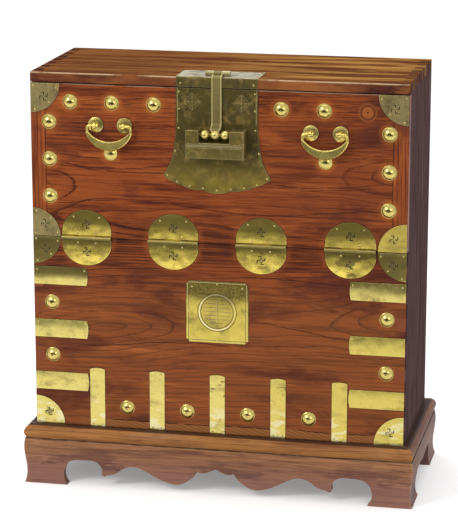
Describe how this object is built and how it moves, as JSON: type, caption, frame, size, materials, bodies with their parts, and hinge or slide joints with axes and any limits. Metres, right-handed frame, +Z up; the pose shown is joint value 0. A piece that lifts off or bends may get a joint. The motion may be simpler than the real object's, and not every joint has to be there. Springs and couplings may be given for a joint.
{
  "type": "chest",
  "caption": "Drop-front wooden chest on a bracket-foot stand, with brass plates, hinges, hasp, sliding padlock and bail handles.",
  "frame": {"origin": "on the floor, under the middle of the whole object's box", "axes": "+Z up, -Y out of the front with the door, +X to the right as seen from the front"},
  "size_m": [0.878, 0.4136, 0.9448],
  "materials": {
    "front_wood": "oiled zelkova, red-brown with dark cathedral grain",
    "top_wood": "oiled zelkova, golden brown, streaked grain",
    "side_wood": "oiled wood, dark violet-brown",
    "back_wood": "plain unfinished softwood",
    "moulding_wood": "oiled wood, orange-brown",
    "stand_wood": "oiled wood, dull brown",
    "plate_brass": "rubbed golden brass sheet",
    "dark_brass": "aged olive-brown brass sheet",
    "lock_brass": "polished and worn brass",
    "cast_brass": "cast brass, pitted, rubbed bright on top",
    "pin_brass": "drawn brass wire and strip"
  },
  "bodies": {
    "case": {"top_board": "top_wood", "side_board_left": "side_wood", "side_board_right": "side_wood", "back_board": "back_wood", "bottom_board": "back_wood", "lower_front_board": "front_wood", "stand_moulding_front": "moulding_wood", "stand_moulding_back": "moulding_wood", "stand_moulding_left": "moulding_wood", "stand_moulding_right": "moulding_wood", "stand_apron_front": "stand_wood", "stand_apron_back": "stand_wood", "stand_apron_left": "stand_wood", "stand_apron_right": "stand_wood", "hinge_1_lower_leaf": "plate_brass", "hinge_2_lower_leaf": "plate_brass", "hinge_3_lower_leaf": "plate_brass", "hinge_4_lower_leaf": "plate_brass", "hinge_pins": "pin_brass", "edge_plate_lower_left": "plate_brass", "edge_plate_lower_right": "plate_brass", "corner_plate_bottom_left": "plate_brass", "corner_plate_bottom_right": "plate_brass", "side_strap_low_left": "plate_brass", "side_strap_low_right": "plate_brass", "side_strap_middle_left": "plate_brass", "side_strap_middle_right": "plate_brass", "side_strap_high_left": "plate_brass", "side_strap_high_right": "plate_brass", "bottom_straps": "plate_brass", "medallion_plate": "plate_brass", "front_studs": "cast_brass", "hasp_plate": "dark_brass", "hasp_bracket": "lock_brass", "hasp_pin": "pin_brass"},
    "door": {"door_panel": "front_wood", "door_cleat_left": "front_wood", "door_cleat_right": "front_wood", "hinge_1_upper_leaf": "plate_brass", "hinge_2_upper_leaf": "plate_brass", "hinge_3_upper_leaf": "plate_brass", "hinge_4_upper_leaf": "plate_brass", "edge_plate_upper_left": "plate_brass", "edge_plate_upper_right": "plate_brass", "corner_plate_top_left": "plate_brass", "corner_plate_top_right": "plate_brass", "lock_plate": "dark_brass", "lock_staples": "lock_brass", "door_studs": "cast_brass", "handle_rosettes": "cast_brass", "handle_posts": "cast_brass", "padlock_body": "lock_brass"},
    "hasp": {"hasp": "lock_brass"},
    "shackle": {"padlock_shackle": "lock_brass", "padlock_spring": "pin_brass"},
    "bail_left": {"bail_left": "cast_brass"},
    "bail_right": {"bail_right": "cast_brass"}
  },
  "joints": [
    {"name": "door_hinge", "type": "hinge", "parent": "case", "child": "door", "pos_m": [0, -0.17805, 0.567], "axis": [1, 0, 0], "range_deg": [0, 165]},
    {"name": "hasp_hinge", "type": "hinge", "parent": "case", "child": "hasp", "pos_m": [0, -0.16025, 0.9388], "axis": [-1, 0, 0], "range_deg": [0, 210]},
    {"name": "shackle_slide", "type": "slide", "parent": "door", "child": "shackle", "axis": [1, 0, 0], "range_m": [0, 0.078]},
    {"name": "bail_left_swing", "type": "hinge", "parent": "door", "child": "bail_left", "pos_m": [-0.2365, -0.18575, 0.82], "axis": [-1, 0, 0], "range_deg": [0, 175]},
    {"name": "bail_right_swing", "type": "hinge", "parent": "door", "child": "bail_right", "pos_m": [0.2365, -0.18575, 0.82], "axis": [-1, 0, 0], "range_deg": [0, 175]}
  ]
}
